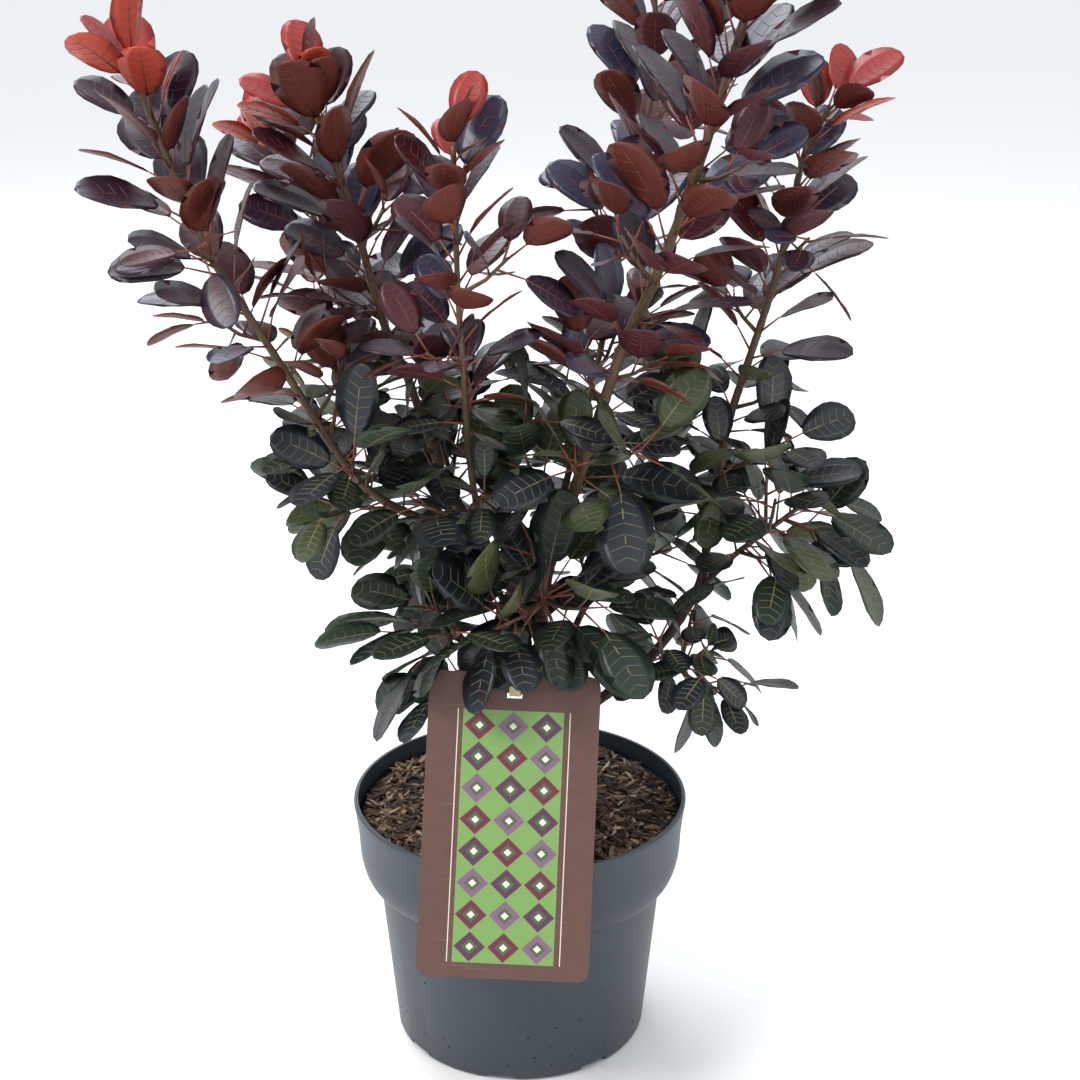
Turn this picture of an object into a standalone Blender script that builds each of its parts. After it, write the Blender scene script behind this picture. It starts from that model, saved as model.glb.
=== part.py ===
# Young purple smoke bush in its round nursery pot, with compost and a hang label.
# Metres, +Z up. The origin is the middle of the pot's flat underside, and -Y is the label's side.
import math
import random

import bmesh
import bpy
from mathutils import Matrix, Vector
from mathutils.bvhtree import BVHTree

MM = 0.001
UP = Vector((0, 0, 1))
GAP = 0.3 * MM  # left between pieces that touch

# The pot, with its raised collar, its foot ring and its drainage
ROUND_SIDES = 36
POT_HEIGHT = 146 * MM
RIM_RADIUS = 95 * MM
RIM_ROUND = 0.7 * MM
COLLAR_RADIUS = 92.5 * MM
COLLAR_FOOT = 96 * MM
COLLAR_LIP = 1.6 * MM
WALL_TOP_RADIUS = 81.4 * MM
FOOT_RADIUS = 72.3 * MM
FOOT_ROUND = 2.2 * MM
POT_WALL = 1.6 * MM
FOOT_RING_INSIDE = 64 * MM
BOSS_RADIUS = 30 * MM
FLOOR_UNDERSIDE = 4 * MM
FLOOR_TOP = 6 * MM
DRAIN_COUNT = 8
DRAIN_SIDES = 8
DRAIN_RADIUS = 4.5 * MM
DRAIN_CIRCLE = 47 * MM
NOTCH_SIZE = (24 * MM, 17 * MM, 6 * MM)  # through the foot ring, along it, and twice its height
NOTCH_TURN = math.radians(-99)  # the front notch's middle

# The compost, just below the rim
COMPOST_TOP = 135 * MM
COMPOST_CROWN = 0.5 * MM
COMPOST_BUMPS = 1.6 * MM
COMPOST_RINGS = (0.93, 0.78, 0.55, 0.3, 0)
LEVEL_ROUND_TRUNK = 22 * MM

# The label card leans on the pot's rim, and its strap goes round the trunk
CARD_WIDTH = 92 * MM
CARD_LENGTH = 162 * MM
CARD_THICK = 0.7 * MM
CARD_CORNER = 6 * MM
CARD_LEAN = math.radians(25)
CARD_ROLL = math.radians(2.6)
CARD_MIDDLE_X = -6.3 * MM
CARD_BELOW_RIM = 56 * MM
SLOT_SIZE = (8 * MM, 2.6 * MM, 10 * MM)
SLOT_BELOW_TOP = 12 * MM
STRAP_WIDTH = 6 * MM
STRAP_THICK = 0.8 * MM
STRAP_HEIGHT = 229 * MM  # where it goes round the trunk

# Stems and twigs
STEM_SIDES = 6
TWIG_SIDES = 3
STEPS_PER_SPAN = 3
ROOT_FLARE = 1.7
TWIG_RADII = (1.3 * MM, 0.9 * MM)
TWIG_LIFT = 0.35
STALK_RADIUS = 0.55 * MM
GOLDEN_TURN = math.radians(137.5)

# A leaf's shape: share of the blade's length and of its half width at each section
LEAF_SECTIONS = ((0.34, 0.88), (0.77, 0.86))
LEAF_WIDTH = 0.66
LEAF_THICK = 0.016
LEAF_FOLD = 0.1
LEAF_BEND = math.radians(10)  # how far the blade leans out from its stalk
CLEARANCE = 0.4 * MM  # how much thicker a leaf is taken when it is tried against the rest
TRIES = 16

# Each stem: where it forks from another, as a limb and a share of the way along it, its waypoints in
# millimetres, the pieces it is cut into with the waypoint where each ends, and its radii at their ends
STEMS = {
    "main": {
        "route": ((15, 5, 135.8), (13.5, 3, 160), (12, 0, 205), (12, 0, 256), (15, -5, 280), (21, -10, 304),
                  (37, -20, 358), (55, -25, 418), (69, -30, 450), (89, -35, 507), (104, -39, 560), (117, -42, 610)),
        "pieces": (("trunk", 3), ("tall_front_bough", 5), ("tall_front_leaves", 11)),
        "radii": (5.2, 3.7, 3.2, 2.0),
    },
    "left": {
        "fork": ("trunk", 0.86),
        "route": ((-3, 0, 268), (-22, 0, 301), (-34, 0, 322), (-43, 2, 341), (-60, 14, 388), (-73, 20, 418),
                  (-90, 28, 481), (-108, 30, 533)),
        "pieces": (("left_bough", 3), ("left_leaves", 8)),
        "radii": (2.9, 2.7, 1.9),
    },
    "far_left": {
        "fork": ("left_bough", 0.72),
        "route": ((-50, -9, 314), (-80, -19, 335), (-102, -20, 366), (-121, -20, 400), (-145, -26, 444),
                  (-161, -30, 476), (-187, -31, 552)),
        "pieces": (("far_left_bough", 1), ("far_left_leaves", 7)),
        "radii": (2.5, 2.4, 1.8),
    },
    "left_back": {
        "fork": ("left_bough", 0.34),
        "route": ((-32, 28, 300), (-66, 50, 332), (-92, 78, 376), (-106, 100, 418), (-118, 114, 455),
                  (-140, 120, 490)),
        "pieces": (("left_back_bough", 2), ("left_back_leaves", 6)),
        "radii": (2.2, 1.9, 1.3),
    },
    "centre_left": {
        "fork": ("left_bough", 0.5),
        "route": ((-18, -12, 304), (-24, -22, 338), (-27, -32, 378), (-28, -40, 412), (-30, -45, 452),
                  (-31, -50, 524)),
        "pieces": (("centre_left_bough", 1), ("centre_left_leaves", 6)),
        "radii": (2.1, 2.0, 1.3),
    },
    "tall_back": {
        "fork": ("tall_front_bough", 0.55),
        "route": ((24, 26, 316), (40, 60, 366), (51, 80, 412), (64, 92, 483), (75, 100, 538), (73, 102, 608)),
        "pieces": (("tall_back_bough", 1), ("tall_back_leaves", 6)),
        "radii": (2.2, 2.0, 1.4),
    },
    "right": {
        "fork": ("trunk", 0.36),
        "route": ((43, 0, 202), (75, 1, 231), (100, 10, 268), (105, 20, 292), (114, 30, 350), (122, 35, 378),
                  (136, 39, 424), (145, 40, 462), (152, 40, 503), (164, 40, 528)),
        "pieces": (("right_bough", 4), ("right_leaves", 10)),
        "radii": (3.0, 2.5, 1.6),
    },
    "outer_right": {
        "fork": ("right_bough", 0.78),
        "route": ((116, 10, 284), (140, 16, 301), (162, 18, 318)),
        "pieces": (("outer_right_bough", 1), ("outer_right_leaves", 3)),
        "radii": (1.9, 1.7, 1.2),
    },
    "back_left": {
        "fork": ("trunk", 0.62),
        "route": ((-8, 26, 250), (-34, 58, 298), (-50, 80, 350)),
        "pieces": (("back_left_bough", 1), ("back_left_leaves", 3)),
        "radii": (2.2, 2.0, 1.3),
    },
    "back_right": {
        "fork": ("trunk", 0.5),
        "route": ((34, 32, 240), (66, 68, 292), (84, 92, 346)),
        "pieces": (("back_right_bough", 1), ("back_right_leaves", 3)),
        "radii": (2.2, 2.0, 1.3),
    },
    "front": {
        "fork": ("tall_front_bough", 0.2),
        "route": ((14, -14, 268), (14, -20, 273), (13, -34, 280)),
        "pieces": (("front_bough", 1), ("front_leaves", 3)),
        "radii": (1.7, 1.6, 1.3),
    },
    "low_left": {
        "fork": ("trunk", 0.56),
        "route": ((-8, -6, 222), (-30, -14, 246), (-46, -18, 266)),
        "pieces": (("low_left_bough", 1), ("low_left_leaves", 3)),
        "radii": (1.9, 1.7, 1.2),
    },
    "low_right": {
        "fork": ("right_bough", 0.5),
        "route": ((78, -10, 226), (88, -14, 232), (102, -18, 240)),
        "pieces": (("low_right_bough", 1), ("low_right_leaves", 3)),
        "radii": (1.7, 1.5, 1.1),
    },
}

# How each mass leafs: its leaves, where along the stem they start and how they crowd to the tip. Blade
# lengths in millimetres and angles from the stem in degrees are read evenly from foot to tip. Then the stalk
# as a share of the blade, how far a leaf sags, the side twigs with their zone on the stem, their length in
# millimetres and the leaves on each, the turn of the first leaf in degrees, and the seed
TALL = {"leaves": 24, "start": 0.03, "crowd": 1.25, "blade": (42, 33, 40, 45, 33), "spread": (78, 62, 46, 36, 18),
        "stalk": 0.43, "sag": 0.06, "twigs": 3, "zone": (0.02, 0.3), "twig_long": 42, "twig_leaves": 5}
LOW = {"leaves": 9, "start": 0.05, "crowd": 1.0, "blade": (43, 45, 41), "spread": (88, 70, 44),
       "stalk": 0.48, "sag": 0.14, "twigs": 1, "zone": (0.1, 0.8), "twig_long": 40, "twig_leaves": 5}
TWIG = {"start": 0.35, "crowd": 1.3, "spread": (84, 66, 34)}
MASSES = {
    "tall_front_leaves": {**TALL, "leaves": 32, "blade": (45, 36, 42, 47, 36), "turn": 30, "seed": 15},
    "far_left_leaves": {**TALL, "leaves": 27, "turn": 0, "seed": 11},
    "left_leaves": {**TALL, "leaves": 25, "turn": 60, "seed": 12},
    "right_leaves": {**TALL, "leaves": 22, "blade": (39, 32, 38, 40, 33), "turn": 45, "seed": 17},
    "tall_back_leaves": {**TALL, "twigs": 2, "turn": 10, "seed": 16},
    "centre_left_leaves": {**TALL, "leaves": 19, "blade": (40, 32, 36, 38, 30), "twigs": 2, "turn": 90, "seed": 14},
    "left_back_leaves": {**TALL, "leaves": 14, "twigs": 1, "turn": 20, "seed": 13},
    "outer_right_leaves": {**LOW, "turn": 80, "seed": 28},
    "front_leaves": {**LOW, "twigs": 0, "spread": (100, 84, 50), "turn": 0, "seed": 31},
    "low_left_leaves": {**LOW, "leaves": 7, "turn": 0, "seed": 32},
    "low_right_leaves": {**LOW, "leaves": 6, "twigs": 0, "blade": (30, 30, 28), "sag": 0.5, "turn": 0, "seed": 33},
    "back_left_leaves": {**LOW, "turn": 0, "seed": 29},
    "back_right_leaves": {**LOW, "turn": 0, "seed": 30},
}

# Finishes: red, green, blue and roughness
FINISHES = {
    "slate plastic": (0.040, 0.055, 0.066, 0.45),
    "bark compost": (0.045, 0.028, 0.018, 0.95),
    "label card": (0.150, 0.070, 0.055, 0.35),
    "cream strap": (0.600, 0.500, 0.300, 0.5),
    "dark bark": (0.060, 0.028, 0.020, 0.7),
    "purple leaves": (0.075, 0.020, 0.028, 0.4),
    "dark green leaves": (0.022, 0.030, 0.022, 0.4),
}


def finish_of(name):
    """The finish that a stem or a mass has."""
    if name.endswith("leaves"):
        return "purple leaves" if MASSES[name]["spread"] == TALL["spread"] else "dark green leaves"
    return "dark bark"


def material(finish):
    """One plain finish, shared by every piece that has it."""
    found = bpy.data.materials.get(finish)
    if found:
        return found
    made = bpy.data.materials.new(finish)
    made.use_nodes = True
    shader = made.node_tree.nodes["Principled BSDF"]
    red, green, blue, roughness = FINISHES[finish]
    shader.inputs["Base Color"].default_value = (red, green, blue, 1)
    shader.inputs["Roughness"].default_value = roughness
    return made


def add_object(name, made, finish):
    """A new object from a bmesh, which it uses up."""
    mesh = bpy.data.meshes.new(name)
    made.to_mesh(mesh)
    made.free()
    mesh.materials.append(material(finish))
    obj = bpy.data.objects.new(name, mesh)
    bpy.context.scene.collection.objects.link(obj)
    return obj


def shape(verts, faces):
    """A bmesh of these vertices and faces, with every face pointing out."""
    made = bmesh.new()
    corners = [made.verts.new(v) for v in verts]
    for face in faces:
        made.faces.new([corners[i] for i in face])
    bmesh.ops.recalc_face_normals(made, faces=made.faces)
    return made


def apply_modifiers(obj):
    """Leaves the object with its modifiers' result as its own mesh."""
    bpy.context.view_layer.update()
    graph = bpy.context.evaluated_depsgraph_get()
    mesh = bpy.data.meshes.new_from_object(obj.evaluated_get(graph))
    obj.modifiers.clear()
    obj.data = mesh


def cut_away(obj, cutters):
    """Takes each cutter out of the object, and removes the cutters."""
    for cutter in cutters:
        cut = obj.modifiers.new("cut", "BOOLEAN")
        cut.operation = "DIFFERENCE"
        cut.object = cutter
    apply_modifiers(obj)
    for cutter in cutters:
        bpy.data.objects.remove(cutter)


def block(name, middle, turn, size, finish):
    """A block of this size round a middle, turned about Z."""
    made = bmesh.new()
    bmesh.ops.create_cube(made, size=1)
    made.transform(Matrix.Translation(middle) @ Matrix.Rotation(turn, 4, "Z") @ Matrix.Diagonal((*size, 1)))
    return add_object(name, made, finish)


# Lines, each a list of stations: (point, direction, radius)


def smooth_points(route):
    """Points on the smooth curve through the waypoints, evenly many to each span."""
    ends = [2 * route[0] - route[1], *route, 2 * route[-1] - route[-2]]
    points = [route[0]]
    for k in range(len(route) - 1):
        a, b, c, d = ends[k:k + 4]
        for j in range(1, STEPS_PER_SPAN + 1):
            t = j / STEPS_PER_SPAN
            points.append(0.5 * (2 * b + (c - a) * t + (2 * a - 5 * b + 4 * c - d) * t**2
                                 + (3 * b - a - 3 * c + d) * t**3))
    return points


def stations_along(points, stops, radii):
    """The stations of a line that tapers evenly between its stops, which are indices of points."""
    line = []
    for k, point in enumerate(points):
        before, after = points[max(k - 1, 0)], points[min(k + 1, len(points) - 1)]
        section = next(i for i in range(1, len(stops)) if k <= stops[i])
        low, high = stops[section - 1], stops[section]
        radius = radii[section - 1] + (radii[section] - radii[section - 1]) * (k - low) / (high - low)
        line.append((point, (after - before).normalized(), radius))
    return line


def place_on(line, share):
    """The point, direction and radius at a share of the way along a line."""
    lengths = [(b[0] - a[0]).length for a, b in zip(line, line[1:])]
    left = share * sum(lengths)
    for (low, high), length in zip(zip(line, line[1:]), lengths):
        if left <= length or high is line[-1]:
            t = left / length
            point = low[0].lerp(high[0], t)
            return point, low[1].lerp(high[1], t).normalized(), low[2] + (high[2] - low[2]) * t
        left -= length


def around(direction, turn):
    """The direction square to a stem's at a turn round it, counted from the front."""
    first = Vector((0, -1, 0)) - direction * -direction.y
    first.normalize()
    return first * math.cos(turn) + direction.cross(first) * math.sin(turn)


def tube(line, sides, grow=0.0):
    """Vertices and faces of a closed tube round a line."""
    verts, faces = [], []
    for point, direction, radius in line:
        for j in range(sides):
            verts.append(point + around(direction, 2 * math.pi * j / sides) * (radius + grow))
    for k in range(len(line) - 1):
        low, high = k * sides, (k + 1) * sides
        for j in range(sides):
            nxt = (j + 1) % sides
            faces.append((low + j, low + nxt, high + nxt, high + j))
    faces.append(tuple(range(sides))[::-1])
    faces.append(tuple(range((len(line) - 1) * sides, len(line) * sides)))
    return verts, faces


def moved_on(line, distance):
    """The line with its first station moved along it a little."""
    point, direction, radius = line[0]
    return [(point + direction * distance, direction, radius), *line[1:]]


# The pot and its compost


def turned(name, profile, finish):
    """A closed body turned about Z from (radius, height) points that start and end on the axis."""
    made = bmesh.new()
    verts = [made.verts.new((radius, 0, height)) for radius, height in profile]
    edges = [made.edges.new(pair) for pair in zip(verts, verts[1:])]
    bmesh.ops.spin(made, geom=verts + edges, cent=(0, 0, 0), axis=(0, 0, 1), angle=2 * math.pi,
                   steps=ROUND_SIDES, use_merge=True)
    bmesh.ops.remove_doubles(made, verts=made.verts, dist=0.01 * MM)
    bmesh.ops.recalc_face_normals(made, faces=made.faces)
    return add_object(name, made, finish)


def pot_outside():
    """(radius, height) up the pot's outer side: foot, wall, stepped collar and rim."""
    step = COLLAR_RADIUS - WALL_TOP_RADIUS
    return [
        (FOOT_RADIUS - FOOT_ROUND, 0),
        (FOOT_RADIUS, FOOT_ROUND),
        (WALL_TOP_RADIUS, COLLAR_FOOT),
        (WALL_TOP_RADIUS + COLLAR_LIP, COLLAR_FOOT + COLLAR_LIP / 2),
        (WALL_TOP_RADIUS + step * 0.62, COLLAR_FOOT + 6 * MM),
        (WALL_TOP_RADIUS + step * 0.85, COLLAR_FOOT + 14 * MM),
        (COLLAR_RADIUS, COLLAR_FOOT + 28 * MM),
        (RIM_RADIUS - RIM_ROUND, POT_HEIGHT - 6 * MM),
        (RIM_RADIUS, POT_HEIGHT - 2 * RIM_ROUND),
        (RIM_RADIUS - RIM_ROUND, POT_HEIGHT),
    ]


def pot_inside():
    """(radius, height) up the pot's inner side, a wall's thickness in from the outer one."""
    side = [(radius - POT_WALL, max(height, FLOOR_TOP)) for radius, height in pot_outside()[1:-2]]
    return [*side, (RIM_RADIUS - RIM_ROUND - POT_WALL, POT_HEIGHT)]


def build_pot():
    """The round pot with its boss, foot ring, drainage notches and holes."""
    pot = turned("pot", [
        (0, 0),
        (BOSS_RADIUS, 0),
        (BOSS_RADIUS + FLOOR_UNDERSIDE / 2, FLOOR_UNDERSIDE),
        (FOOT_RING_INSIDE - FLOOR_UNDERSIDE / 2, FLOOR_UNDERSIDE),
        (FOOT_RING_INSIDE, 0),
        *pot_outside(),
        *pot_inside()[::-1],
        (0, FLOOR_TOP),
    ], "slate plastic")
    cutters = []
    for k in range(DRAIN_COUNT):
        notch = NOTCH_TURN + 2 * math.pi * k / DRAIN_COUNT
        out = Vector((math.cos(notch), math.sin(notch), 0))
        cutters.append(block("notch", out * FOOT_RADIUS, notch, NOTCH_SIZE, "slate plastic"))
        hole = notch + math.pi / DRAIN_COUNT
        at = Vector((math.cos(hole), math.sin(hole), 0)) * DRAIN_CIRCLE
        drain = [(at, UP, DRAIN_RADIUS), (at + UP * 2 * FLOOR_TOP, UP, DRAIN_RADIUS)]
        cutters.append(add_object("drain", shape(*tube(drain, DRAIN_SIDES)), "slate plastic"))
    cut_away(pot, cutters)
    pot.data.shade_smooth()
    pot.data.set_sharp_from_angle(angle=math.radians(35))
    return pot


def build_compost():
    """The pot's filling, with a slightly uneven top that is level round the trunk."""
    rng = random.Random(5)
    side = [point for point in pot_inside() if point[1] < COMPOST_TOP and point[1] != COLLAR_FOOT + COLLAR_LIP / 2]
    edge = COLLAR_RADIUS - POT_WALL
    compost = turned("compost", [
        (0, FLOOR_TOP + GAP),
        (side[0][0] - GAP, FLOOR_TOP + GAP),
        *[(radius - GAP, height) for radius, height in side[1:]],
        (edge, COMPOST_TOP),
        *[(edge * share, COMPOST_TOP + COMPOST_CROWN) for share in COMPOST_RINGS],
    ], "bark compost")
    foot = Vector(STEMS["main"]["route"][0]) * MM
    for vert in compost.data.vertices:
        if vert.co.z > COMPOST_TOP and (vert.co - foot).length > LEVEL_ROUND_TRUNK:
            vert.co.z += rng.uniform(-COMPOST_BUMPS, COMPOST_BUMPS) / 2
    return compost


# The label


def card_frame():
    """Turns the card's own axes, across it, up it and out of its face, to where it leans on the rim."""
    rim = Vector((CARD_MIDDLE_X, RIM_ROUND - RIM_RADIUS, POT_HEIGHT))
    lean = Matrix.Rotation(math.pi / 2 - CARD_LEAN, 4, "X")
    return Matrix.Translation(rim) @ lean @ Matrix.Rotation(-CARD_ROLL, 4, "Z") @ Matrix.Translation(UP * GAP)


def build_card():
    """A thin card with round corners and a slot for its strap."""
    top = CARD_LENGTH - CARD_BELOW_RIM
    outline = []
    for k, (right, up) in enumerate(((1, top), (-1, top), (-1, -CARD_BELOW_RIM), (1, -CARD_BELOW_RIM))):
        inward = CARD_CORNER if up == top else -CARD_CORNER
        middle = Vector((right * (CARD_WIDTH / 2 - CARD_CORNER), up - inward, 0))
        for j in range(4):
            turn = math.pi / 2 * (k + j / 3)
            outline.append(middle + Vector((math.cos(turn), math.sin(turn), 0)) * CARD_CORNER)
    count = len(outline)
    sides = [(j, (j + 1) % count, count + (j + 1) % count, count + j) for j in range(count)]
    verts = outline + [point + UP * CARD_THICK for point in outline]
    made = shape(verts, [tuple(range(count)), tuple(range(count, 2 * count)), *sides])
    made.transform(card_frame())
    card = add_object("label_card", made, "label card")
    slot = block("slot", Vector((0, top - SLOT_BELOW_TOP, 0)), 0, SLOT_SIZE, "label card")
    slot.data.transform(card_frame())
    cut_away(card, [slot])
    return card


def strap_stations(trunk):
    """The strap's closed middle line, as (point, direction across its width).

    It comes out of the slot, goes up and over the card's top, round the trunk and back into the slot.
    """
    frame = card_frame()
    clear = STRAP_THICK / 2 + GAP
    top = CARD_LENGTH - CARD_BELOW_RIM
    slot = top - SLOT_BELOW_TOP
    across = frame.to_3x3() @ Vector((1, 0, 0))
    on_card = ((slot, CARD_THICK / 2), (slot, CARD_THICK + clear), (top, CARD_THICK + clear), (top + clear, CARD_THICK),
               (top + clear, -2 * clear))
    stations = [(frame @ Vector((0, up, out)), across) for up, out in on_card]
    middle = min(trunk, key=lambda station: abs(station[0].z - STRAP_HEIGHT))
    radius = middle[2] + clear
    ring = []
    for k in range(7):
        turn = math.pi * (1 - k / 6)
        point = Vector((middle[0].x + math.cos(turn) * radius, middle[0].y + math.sin(turn) * radius, STRAP_HEIGHT))
        ring.append((point, UP))
    behind = (frame @ Vector((0, slot, -2 * clear)), across)
    for start, end in ((stations[-1], ring[0]), (ring[-1], behind)):
        bridge = []
        for t in (0.25, 0.5, 0.75):
            bridge.append((start[0].lerp(end[0], t), start[1].lerp(end[1], t).normalized()))
        stations += bridge + (ring if start is not ring[-1] else [behind])
    return stations


def build_tie(trunk):
    """The strap: a flat band in a closed loop, twisted from the card's slant to the trunk's."""
    line = strap_stations(trunk)
    verts, faces = [], []
    count = len(line)
    for k, (point, across) in enumerate(line):
        step = (line[(k + 1) % count][0] - line[k - 1][0]).normalized()
        out = across.cross(step).normalized()
        for side, thick in ((-1, -1), (1, -1), (1, 1), (-1, 1)):
            verts.append(point + across * side * STRAP_WIDTH / 2 + out * thick * STRAP_THICK / 2)
    for k in range(count):
        here, there = 4 * k, 4 * ((k + 1) % count)
        for j in range(4):
            nxt = (j + 1) % 4
            faces.append((here + j, here + nxt, there + nxt, there + j))
    return add_object("label_tie", shape(verts, faces), "cream strap")


# The woody stems


def stem_lines():
    """Each piece's line, by its name, and the limb that it is cut back from, if it forks from one."""
    lines, forks = {}, {}
    for plan in STEMS.values():
        route = [Vector(p) * MM for p in plan["route"]]
        if "fork" in plan:
            limb, share = plan["fork"]
            route.insert(0, place_on(lines[limb], share)[0])
            forks[plan["pieces"][0][0]] = limb
        stops = [0] + [end * STEPS_PER_SPAN for _, end in plan["pieces"]]
        line = stations_along(smooth_points(route), stops, [r * MM for r in plan["radii"]])
        for (name, _), start, end in zip(plan["pieces"], stops, stops[1:]):
            piece = line[start:end + 1]
            lines[name] = moved_on(piece, GAP) if start else piece
    foot, direction, radius = lines["trunk"][0]
    lines["trunk"][0] = (foot, UP, radius * ROOT_FLARE)
    return lines, forks


def build_stem(name, lines, forks):
    """A stem's solid. Where it forks from a limb it is cut back from it, so that they meet in a saddle."""
    stem = add_object(name, shape(*tube(lines[name], STEM_SIDES)), finish_of(name))
    if name in forks:
        limb = shape(*tube(lines[forks[name]], STEM_SIDES, GAP))
        cut_away(stem, [add_object("limb", limb, finish_of(name))])
    return stem


# Leaves and twigs


class Guard:
    """What new growth keeps clear of: a whole shape, and its outer part for growth on the same stem."""

    def __init__(self, owner, whole, outer=None):
        self.owner = owner
        verts = whole[0]
        self.middle = sum(verts, Vector()) / len(verts)
        self.reach = max((v - self.middle).length for v in verts)
        self.whole = BVHTree.FromPolygons(*whole)
        self.outer = BVHTree.FromPolygons(*outer) if outer else self.whole

    def meets(self, other):
        if (self.middle - other.middle).length > self.reach + other.reach:
            return False
        if self.owner == other.owner:
            return bool(self.outer.overlap(other.outer))
        return bool(self.whole.overlap(other.whole))


def solid_guard(obj):
    return Guard(obj.name, ([v.co for v in obj.data.vertices], [tuple(p.vertices) for p in obj.data.polygons]))


def at_share(values, share):
    """A value at a share of the way along, from values spaced evenly from foot to tip."""
    step = min(int(share * (len(values) - 1)), len(values) - 2)
    return values[step] + (values[step + 1] - values[step]) * (share * (len(values) - 1) - step)


def place_leaf(line, share, turn, lift, roll, size, plan):
    """Where a leaf stands: its root in the stem, its neck, and its blade's own axes and length."""
    root, direction, radius = place_on(line, share)
    out = around(direction, turn)
    rise = math.radians(at_share(plan["spread"], share)) + lift
    long = at_share(plan["blade"], share) * MM * size
    neck = root + (direction * math.cos(rise) + out * math.sin(rise)) * (radius + long * plan["stalk"])
    rise += LEAF_BEND
    blade = direction * math.cos(rise) + out * math.sin(rise)
    blade = (blade - UP * plan["sag"]).normalized()
    side = blade.cross(direction * 0.6 + UP).normalized()
    side = Matrix.Rotation(roll, 3, blade) @ side
    return {"root": root, "neck": neck, "blade": blade, "side": side, "up": side.cross(blade), "long": long}


def leaf_shape(leaf, grow=0.0, start=0.0):
    """Vertices and faces of one leaf: a three-sided stalk that opens into a keeled blade."""
    blade, side, up, long = leaf["blade"], leaf["side"], leaf["up"], leaf["long"]
    stalk = STALK_RADIUS + grow
    verts = []
    for middle in (leaf["root"].lerp(leaf["neck"], start), leaf["neck"]):
        verts += [middle + (up * 0.5 - side) * stalk, middle + (up * 0.5 + side) * stalk, middle - up * stalk]
    for share, wide in LEAF_SECTIONS:
        middle = leaf["neck"] + blade * long * share
        half = LEAF_WIDTH * long / 2 * wide + grow
        edge = up * (LEAF_FOLD * half + grow)
        verts += [middle - side * half + edge, middle + side * half + edge, middle - up * (LEAF_THICK * long + grow)]
    verts.append(leaf["neck"] + blade * (long + grow))
    faces = [(2, 1, 0)]
    rings = len(LEAF_SECTIONS) + 2
    for k in range(rings - 1):
        for j in range(3):
            nxt = (j + 1) % 3
            faces.append((3 * k + j, 3 * k + nxt, 3 * k + 3 + nxt, 3 * k + 3 + j))
    last = 3 * (rings - 1)
    faces += [(last + j, last + (j + 1) % 3, last + 3) for j in range(3)]
    return verts, faces


def grow_leaves(name, line, count, plan, rng, guards):
    """Leaves that spiral up a stem or twig. Each is turned aside until it is clear, or left out."""
    made = []
    turn = math.radians(plan["turn"])
    for k in range(count):
        even = (k + 0.5) / count
        share = plan["start"] + (1 - plan["start"]) * (1 - (1 - even)**plan["crowd"])
        turn += GOLDEN_TURN + rng.uniform(-0.3, 0.3)
        lift, roll, size = rng.uniform(-0.17, 0.17), rng.uniform(-0.6, 0.6), rng.uniform(0.85, 1.15)
        for attempt in range(TRIES):
            swing = (attempt + 1) // 2 * (0.16 if attempt % 2 else -0.16)
            leaf = place_leaf(line, share, turn + swing, lift + swing / 2, roll, size * (1 - 0.017 * attempt), plan)
            guard = Guard(name, leaf_shape(leaf, CLEARANCE), leaf_shape(leaf, CLEARANCE, 0.35))
            if not any(guard.meets(other) for other in guards):
                guards.append(guard)
                made.append(leaf)
                break
    return made


def grow_twigs(name, line, plan, rng, guards):
    """Side twigs that leave the stem in the same spiral as the leaves."""
    made = []
    turn = math.radians(plan["turn"]) + math.pi / 2
    low, high = plan["zone"]
    for k in range(plan["twigs"]):
        turn += GOLDEN_TURN + rng.uniform(-0.3, 0.3)
        long = plan["twig_long"] * MM * rng.uniform(0.8, 1.2)
        root, direction, _ = place_on(line, low + (high - low) * (k + 0.5) / plan["twigs"])
        for attempt in range(TRIES):
            swing = (attempt + 1) // 2 * (0.2 if attempt % 2 else -0.2)
            heading = (direction * 0.5 + around(direction, turn + swing)).normalized()
            end = (heading + UP * TWIG_LIFT).normalized()
            points = [root, root + heading * long / 2, root + (heading + end) * long / 2]
            twig = stations_along(points, (0, 2), TWIG_RADII)
            guard = Guard(name, tube(twig, TWIG_SIDES, CLEARANCE), tube(moved_on(twig, 6 * MM), TWIG_SIDES, CLEARANCE))
            if not any(guard.meets(other) for other in guards):
                guards.append(guard)
                made.append(twig)
                break
    return made


def grow_mass(name, line, guards):
    """The shapes of one mass's twigs and leaves, in the order in which they grow."""
    plan = MASSES[name]
    rng = random.Random(plan["seed"])
    twigs = grow_twigs(name, line, plan, rng, guards)
    leaves = grow_leaves(name, line, plan["leaves"], plan, rng, guards)
    for twig in twigs:
        outer = {**plan, **TWIG, "blade": plan["blade"][:2], "turn": rng.uniform(0, 360)}
        leaves += grow_leaves(name, twig, plan["twig_leaves"], outer, rng, guards)
    return [tube(twig, TWIG_SIDES) for twig in twigs] + [leaf_shape(leaf) for leaf in leaves]


def fuse(stem, shapes, finish):
    """Joins twigs and leaves to their stem as one body."""
    growth = bpy.data.collections.new("growth")
    bpy.context.scene.collection.children.link(growth)
    for verts, faces in shapes:
        piece = add_object("piece", shape(verts, faces), finish)
        bpy.context.scene.collection.objects.unlink(piece)
        growth.objects.link(piece)
    join = stem.modifiers.new("join", "BOOLEAN")
    join.operation = "UNION"
    join.operand_type = "COLLECTION"
    join.collection = growth
    apply_modifiers(stem)
    for piece in list(growth.objects):
        bpy.data.objects.remove(piece)
    bpy.data.collections.remove(growth)


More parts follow.
